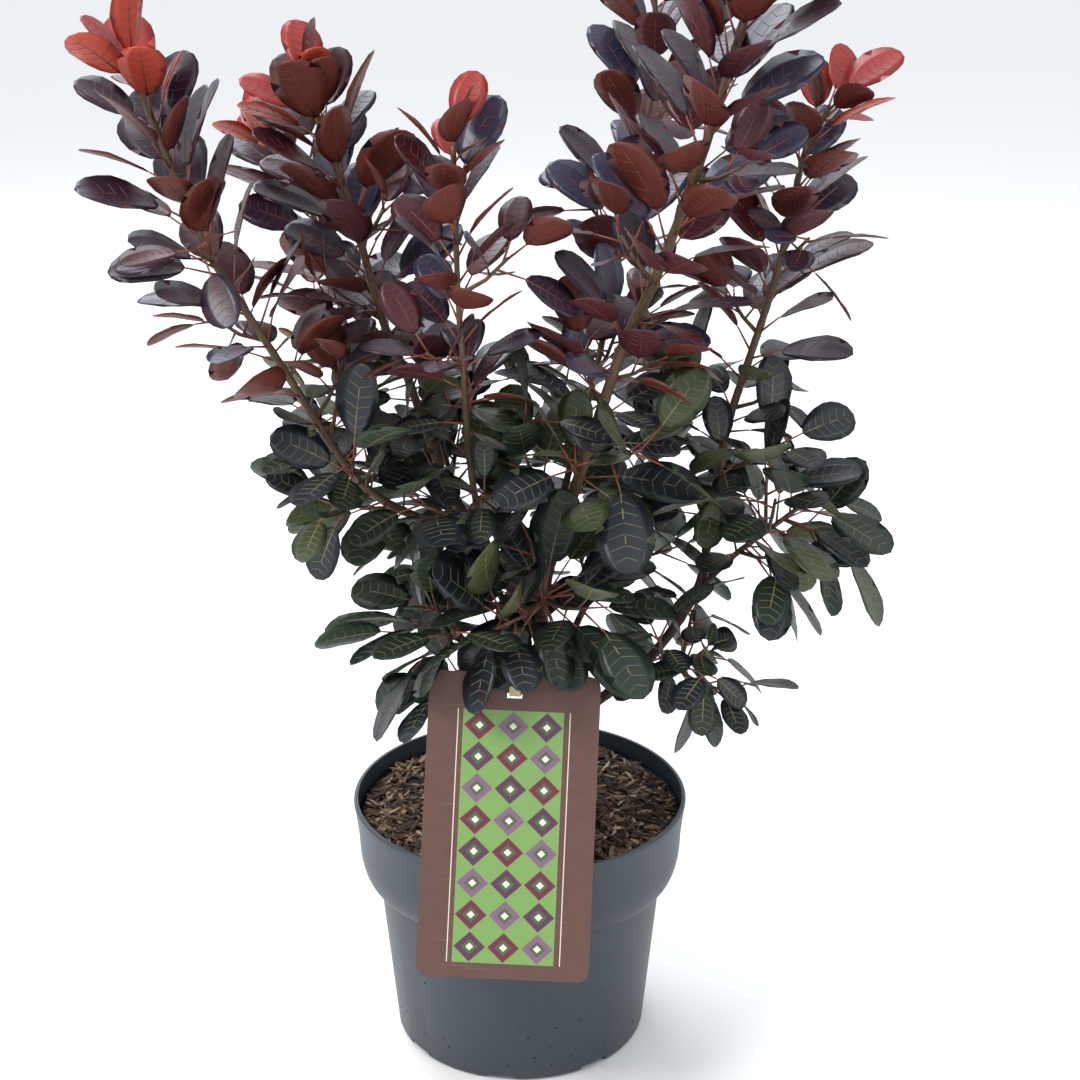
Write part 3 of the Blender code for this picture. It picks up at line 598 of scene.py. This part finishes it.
def buildPlant():
    lines = stemLines()
    guards = []
    for node in ("pot", "compost", "label_card", "label_tie"):
        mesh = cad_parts[node].data
        guards.append(Guard(node, ([v.co.copy() for v in mesh.vertices], [tuple(p.vertices) for p in mesh.polygons])))
    guards += [Guard(name, tube(line, 6, growth["clear"])) for name, line in lines.items()]
    grown = {name: growMass(name, lines[name], guards) for name in masses}
    for name, (twigs, leaves) in grown.items():
        fineTwigs, fineLeaves = growFine(name, lines[name], guards)
        twigs += fineTwigs
        leaves += fineLeaves
    rng = random.Random(leafLook["seed"])
    veins, stalks = Pile(), Pile()
    for name, (twigs, leaves) in grown.items():
        blades = Pile()
        young = {"start": 0.9, "crowd": 1, "blade": leafLook["youngBlade"], "stalk": 0.3, "sag": 0,
                 "spread": leafLook["youngSpread"], "turn": rng.uniform(0, 360)}
        leaves += growLeaves(name, lines[name], leafLook["young"], young, rng, guards)
        for leaf in leaves:
            leaf["phase"] = rng.uniform(0, 6)
            leaf["curl"] = rng.uniform(0, leafLook["maxCurl"])
            keepInside(leaf)
            top, under, vein = leafColours(leaf, rng)
            addBlade(blades, leaf, top, under)
            addVeins(veins, leaf, vein)
            points = [leaf["root"], leaf["root"].lerp(leaf["neck"], 0.5), leaf["neck"]]
            stalk = stationsAlong(points, (0, 2), leafLook["stalkRadii"])
            stalks.add(*tube(stalk, leafLook["stalkSides"]), "stalk")
        for twig in twigs:
            stalks.add(*tube(twig, leafLook["twigSides"]), "youngBark")
        slot = "purple_leaves" if masses[name]["spread"] == tall["spread"] else "dark_green_leaves"
        blades.piece(name.replace("leaves", "blades"), slot, (name,))
        print(name, len(leaves), "leaves")
    veins.piece("leaf_veins", "purple_leaves")
    stalks.piece("twigs_and_stalks", "dark_bark")
    buildBark(lines)


# bark: rounder limbs with a knobbly relief, swollen a little at intervals as at buds
bark = {"sides": 12, "steps": 5, "rough": 0.05, "swell": 0.12, "swellEvery": 1.9, "seed": 8}


def buildBark(lines):
    rng = random.Random(bark["seed"])
    pile = Pile()
    for name, line in lines.items():
        fine = []
        for (a, b) in zip(line, line[1:]):
            for j in range(bark["steps"]):
                t = j / bark["steps"]
                radius = a[2] + (b[2] - a[2]) * t
                fine.append((a[0].lerp(b[0], t), a[1].lerp(b[1], t).normalized(), radius))
        fine.append(line[-1])
        verts, faces = tube(fine, bark["sides"])
        count = bark["sides"]
        for k, (point, _, radius) in enumerate(fine):
            swell = 1 + bark["swell"] * max(0, math.sin(k * bark["swellEvery"] + len(name)))**4
            for j in range(count):
                grow = swell + rng.uniform(-bark["rough"], bark["rough"])
                verts[k * count + j] = point + (verts[k * count + j] - point) * grow
        pile.add(verts, faces, "youngBark" if name.endswith("leaves") else "oldBark")
    limbs = [name for name in lines if not name.endswith("leaves")]
    pile.piece("bark", "dark_bark", limbs)


# the pot, turned finely, with its notches and specks of dirt
potLook = {"sides": 144, "height": 146 * mm, "rim": 95 * mm, "rimRound": 0.7 * mm, "collar": 92.5 * mm,
           "collarFoot": 96 * mm, "wallTop": 81.4 * mm, "foot": 72.3 * mm, "footRound": 2.2 * mm, "wall": 1.6 * mm,
           "ring": 64 * mm, "boss": 30 * mm, "floor": 4 * mm, "floorTop": 6 * mm, "notches": 8,
           "notchSize": (24 * mm, 17 * mm, 6 * mm), "notchTurn": math.radians(-99), "specks": 60, "drain": 4.5 * mm,
           "drainAt": 47 * mm, "drainSides": 24, "seed": 12}


def potOutline():
    p = potLook
    step = p["collar"] - p["wallTop"]
    outside = [(p["foot"] - p["footRound"], 0), (p["foot"] - 0.6 * mm, 0.8 * mm), (p["foot"], p["footRound"]),
               (p["wallTop"], p["collarFoot"]), (p["wallTop"] + 1.1 * mm, p["collarFoot"] + 0.2 * mm),
               (p["wallTop"] + 1.8 * mm, p["collarFoot"] + 1.1 * mm)]
    for k in range(1, 9):
        t = k / 8
        outside.append((p["wallTop"] + 1.8 * mm + (step - 1.8 * mm) * math.sin(t * math.pi / 2)**0.9,
                        p["collarFoot"] + 1.1 * mm + 26.9 * mm * t**1.9))
    outside += [(p["rim"] - p["rimRound"], p["height"] - 6 * mm), (p["rim"], p["height"] - 2.4 * mm),
                (p["rim"], p["height"] - 1.0 * mm), (p["rim"] - p["rimRound"], p["height"])]
    inside = [(r - p["wall"], max(z, p["floorTop"])) for r, z in outside[2:-3]]
    inside.append((p["rim"] - p["rimRound"] - p["wall"], p["height"]))
    under = [(0, 0), (p["boss"], 0), (p["boss"] + 2 * mm, p["floor"]), (p["ring"] - 2 * mm, p["floor"]), (p["ring"], 0)]
    return under + outside + inside[::-1] + [(0, p["floorTop"])]


def cutAway(piece, cutter):
    cut = piece.modifiers.new("cut", "BOOLEAN")
    cut.operation = "DIFFERENCE"
    cut.object = cutter
    bpy.context.view_layer.objects.active = piece
    bpy.ops.object.modifier_apply(modifier="cut")
    bpy.data.objects.remove(cutter)


def buildPot():
    outline = potOutline()
    bpy.ops.mesh.primitive_plane_add(size=1, location=(0, 0, 0))
    pot = bpy.context.object
    pot.name = "pot_body"
    pot.data.clear_geometry()
    pot.data.from_pydata([(r, 0, z) for r, z in outline], [(k, k + 1) for k in range(len(outline) - 1)], [])
    bpy.ops.object.mode_set(mode="EDIT")
    bpy.ops.mesh.select_all(action="SELECT")
    bpy.ops.mesh.spin(steps=potLook["sides"], angle=2 * math.pi, center=(0, 0, 0), axis=(0, 0, 1))
    bpy.ops.mesh.select_all(action="SELECT")
    bpy.ops.mesh.remove_doubles(threshold=0.00002)
    bpy.ops.mesh.normals_make_consistent(inside=False)
    bpy.ops.object.mode_set(mode="OBJECT")
    for k in range(potLook["notches"]):
        turn = potLook["notchTurn"] + 2 * math.pi * k / potLook["notches"]
        out = Vector((math.cos(turn), math.sin(turn), 0)) * potLook["foot"]
        bpy.ops.object.select_all(action="DESELECT")
        bpy.ops.mesh.primitive_cube_add(size=1, location=out, rotation=(0, 0, turn), scale=potLook["notchSize"])
        cutAway(pot, bpy.context.object)
        hole = turn + math.pi / potLook["notches"]
        spot = (math.cos(hole) * potLook["drainAt"], math.sin(hole) * potLook["drainAt"], potLook["floorTop"])
        bpy.ops.object.select_all(action="DESELECT")
        bpy.ops.mesh.primitive_cylinder_add(vertices=potLook["drainSides"], radius=potLook["drain"],
                                            depth=4 * potLook["floorTop"], location=spot)
        cutAway(pot, bpy.context.object)
    bpy.ops.object.select_all(action="DESELECT")
    pot.select_set(True)
    bpy.context.view_layer.objects.active = pot
    bpy.ops.object.shade_smooth_by_angle(angle=math.radians(32))
    bpy.ops.object.select_all(action="DESELECT")
    pot.data.materials.clear()
    pot.data.materials.append(finish("slatePot"))
    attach(pot, "root")
    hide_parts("pot")
    addDirt()


def addDirt():
    rng = random.Random(potLook["seed"])
    dirt = Pile()
    for k in range(potLook["specks"]):
        turn = rng.uniform(0, 2 * math.pi)
        high = rng.uniform(6, 90) * mm * rng.random()**0.6
        wallRadius = potLook["foot"] + (potLook["wallTop"] - potLook["foot"]) * (high - potLook["footRound"]) / (
            potLook["collarFoot"] - potLook["footRound"])
        out = Vector((math.cos(turn), math.sin(turn), 0))
        side = Vector((-out.y, out.x, 0))
        size = rng.uniform(0.35, 1.1) * mm
        middle = out * (wallRadius + 0.04 * mm) + up * high
        ring = []
        for a in (0, 1.05, 2.1, 3.15, 4.2, 5.25):
            across, along = rng.uniform(0.6, 1.1), rng.uniform(0.6, 1.1)
            ring.append(middle + side * math.cos(a) * size * across + up * math.sin(a) * size * along)
        faces = [(i, (i + 1) % 6, 6) for i in range(6)] + [(5, 4, 3, 2, 1, 0)]
        dirt.add(ring + [middle + out * 0.25 * mm], faces, "algae" if rng.random() < 0.3 else "potSpeck")
    dirt.piece("pot_dirt", "pot_plastic")


# compost: the solid's own top in dark soil, under a litter of bark chips
compostLook = {"top": 135 * mm, "edge": 90.4 * mm, "chips": 2600, "seed": 21,
               "long": (4, 15), "wide": (1.1, 3.4), "thick": (0.5, 1.3), "pile": 2.6 * mm,
               "trunkAt": (15 * mm, 5 * mm), "trunkClear": 9.5 * mm}

chipWoods = ((0.4, "chipDark"), (0.72, "chipBrown"), (0.94, "chipTan"), (1, "chipPale"))


def buildCompost():
    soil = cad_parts["compost"]
    soil.data.materials.clear()
    soil.data.materials.append(finish("soil"))
    c = compostLook
    rng = random.Random(c["seed"])
    pile = Pile()
    for k in range(c["chips"]):
        far = c["edge"] * math.sqrt(rng.random())
        turn = rng.uniform(0, 2 * math.pi)
        long, wide, thick = rng.uniform(*c["long"]) * mm, rng.uniform(*c["wide"]) * mm, rng.uniform(*c["thick"]) * mm
        if far + long / 2 > c["edge"]:
            far = c["edge"] - long / 2
        x, y = far * math.cos(turn), far * math.sin(turn)
        if math.hypot(x - c["trunkAt"][0], y - c["trunkAt"][1]) < c["trunkClear"]:
            continue
        spin = Matrix.Rotation(rng.uniform(0, math.pi), 3, "Z") @ Matrix.Rotation(rng.gauss(0, 0.22), 3, "Y")
        spin = spin @ Matrix.Rotation(rng.gauss(0, 0.35), 3, "X")
        middle = Vector((x, y, c["top"] + rng.uniform(0.2, 1) * c["pile"]))
        bow = rng.uniform(-0.12, 0.12) * long
        verts = []
        for share, girth in ((-0.5, 0.45), (-0.15, 1), (0.2, 0.9), (0.5, 0.35)):
            girth *= rng.uniform(0.75, 1.15)
            for a, b in ((-1, -1), (1, -1), (1, 1), (-1, 1)):
                bent = bow * (0.25 - share**2) * 4
                verts.append(middle + spin @ Vector((share * long, a * wide / 2 * girth + bent, b * thick / 2 * girth)))
        faces = [(3, 2, 1, 0), (12, 13, 14, 15)]
        for ring in range(3):
            for j in range(4):
                nxt = (j + 1) % 4
                faces.append((4 * ring + j, 4 * ring + nxt, 4 * ring + 4 + nxt, 4 * ring + 4 + j))
        pick = rng.random()
        wood = next(name for limit, name in chipWoods if pick < limit)
        pile.add(verts, faces, wood)
    pile.piece("bark_chips", "bark_compost", smooth=False)
    print("chips laid")


# the label: the solid card in brown, with an upright green band of plain diamonds between two lines
cardLook = {"thick": 0.7 * mm, "lean": math.radians(25), "roll": math.radians(2.6),
            "middleX": -6.3 * mm, "belowRim": 56 * mm, "ink": 0.06 * mm, "panel": (-48 * mm, 86 * mm),
            "panelWide": 54 * mm, "grains": 44, "diamonds": (3, 8), "lineOut": 3 * mm, "lineWide": 0.5 * mm,
            "seed": 31}


def cardFrame():
    rim = Vector((cardLook["middleX"], potLook["rimRound"] - potLook["rim"], potLook["height"]))
    lean = Matrix.Rotation(math.pi / 2 - cardLook["lean"], 4, "X")
    roll = Matrix.Rotation(-cardLook["roll"], 4, "Z")
    return Matrix.Translation(rim) @ lean @ roll @ Matrix.Translation(up * gap)


def buildLabel():
    card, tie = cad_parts["label_card"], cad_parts["label_tie"]
    for node, name in ((card, "cardBrown"), (tie, "strapCream")):
        node.data.materials.clear()
        node.data.materials.append(finish(name))
    c = cardLook
    rng = random.Random(c["seed"])
    place = cardFrame()
    pile = Pile()
    layer = [0]

    def ink(points, name):
        layer[0] += 1
        high, count = c["thick"] + c["ink"] * (0.5 + 0.004 * layer[0]), len(points)
        verts = [place @ Vector((x, y, z)) for z in (c["thick"] - c["ink"], high) for x, y in points]
        sides = [(j, (j + 1) % count, count + (j + 1) % count, count + j) for j in range(count)]
        pile.add(verts, [tuple(range(count))[::-1], tuple(range(count, 2 * count)), *sides], name)

    half = c["panelWide"] / 2
    bottom, top = c["panel"]
    for k in range(c["grains"]):
        x, y = rng.uniform(-43, 13) * mm, rng.uniform(-53, 90) * mm
        ink([(x, y), (x + rng.uniform(12, 30) * mm, y + 0.1 * mm), (x + rng.uniform(5, 25) * mm, y + 0.7 * mm)],
            "cardGrain")
    ink([(-half, bottom), (half, bottom), (half, top), (-half, top)], "cardGreen")
    columns, rows = c["diamonds"]
    wide, tall = c["panelWide"] / columns, (top - bottom) / rows
    for row in range(rows):
        for column in range(columns):
            x, y = (column + 0.5) * wide - half, bottom + (row + 0.5) * tall
            outer = ("cardPlum", "cardWine", "cardLilac")[(row + column) % 3]
            for part, name in ((0.94, outer), (0.5, "cardShade"), (0.24, "cardCream")):
                across, along = wide / 2 * part, tall / 2 * part
                ink([(x + across, y), (x, y + along), (x - across, y), (x, y - along)], name)
    for x in (-half - c["lineOut"], half + c["lineOut"]):
        ink([(x, bottom), (x + c["lineWide"], bottom), (x + c["lineWide"], top), (x, top)], "cardCream")
    pile.piece("label_print", "label_card", smooth=False)


# the pale floor, the soft lights and the camera at the photograph's angle
stageLook = {
    "camera": (0.0115, -1.09, 0.708), "pitch": 20.53, "focal": 70.7, "sensor": 36, "target": (0, 0, 0.33),
    "floorSize": 30, "floorDrop": 0.5 * mm, "sky": (0.95, 0.97, 1, 1), "skyStrength": 1.02,
    "lights": (("key", (-1.3, -0.9, 1.9), 0.8, 30, (1, 0.98, 0.95)),  # name, place, size, watts, colour
               ("sky", (-0.6, 1.2, 1.8), 1.4, 30, (0.86, 0.92, 1)),
               ("fill", (1.5, -1.2, 0.9), 1.4, 7, (1, 1, 1))),
}


def buildStage():
    bpy.ops.mesh.primitive_plane_add(size=stageLook["floorSize"], location=(0, 0, -stageLook["floorDrop"]))
    floor = bpy.context.object
    floor.name = "floor"
    floor.data.materials.append(finish("floorPale"))
    world = bpy.data.worlds.new("studio")
    bpy.context.scene.world = world
    world.use_nodes = True
    background = world.node_tree.nodes["Background"]
    background.inputs["Color"].default_value = stageLook["sky"]
    background.inputs["Strength"].default_value = stageLook["skyStrength"]
    for name, place, size, power, colour in stageLook["lights"]:
        lamp = bpy.data.lights.new(name, "AREA")
        lamp.shape = "DISK"
        lamp.size = size
        lamp.energy = power
        lamp.color = colour
        obj = bpy.data.objects.new(name, lamp)
        obj.location = place
        obj.rotation_euler = (Vector(stageLook["target"]) - Vector(place)).to_track_quat("-Z", "Y").to_euler()
        bpy.context.scene.collection.objects.link(obj)
    eye = bpy.data.cameras.new("camera")
    eye.sensor_width = stageLook["sensor"]
    eye.lens = stageLook["focal"]
    camera = bpy.data.objects.new("camera", eye)
    camera.location = stageLook["camera"]
    camera.rotation_euler = (math.radians(90 - stageLook["pitch"]), 0, 0)
    bpy.context.scene.collection.objects.link(camera)
    bpy.context.scene.camera = camera
    bpy.context.scene.view_settings.view_transform = "Standard"


buildPlant()
print("plant grown")
buildPot()
buildCompost()
buildLabel()
buildStage()
print("stage set")
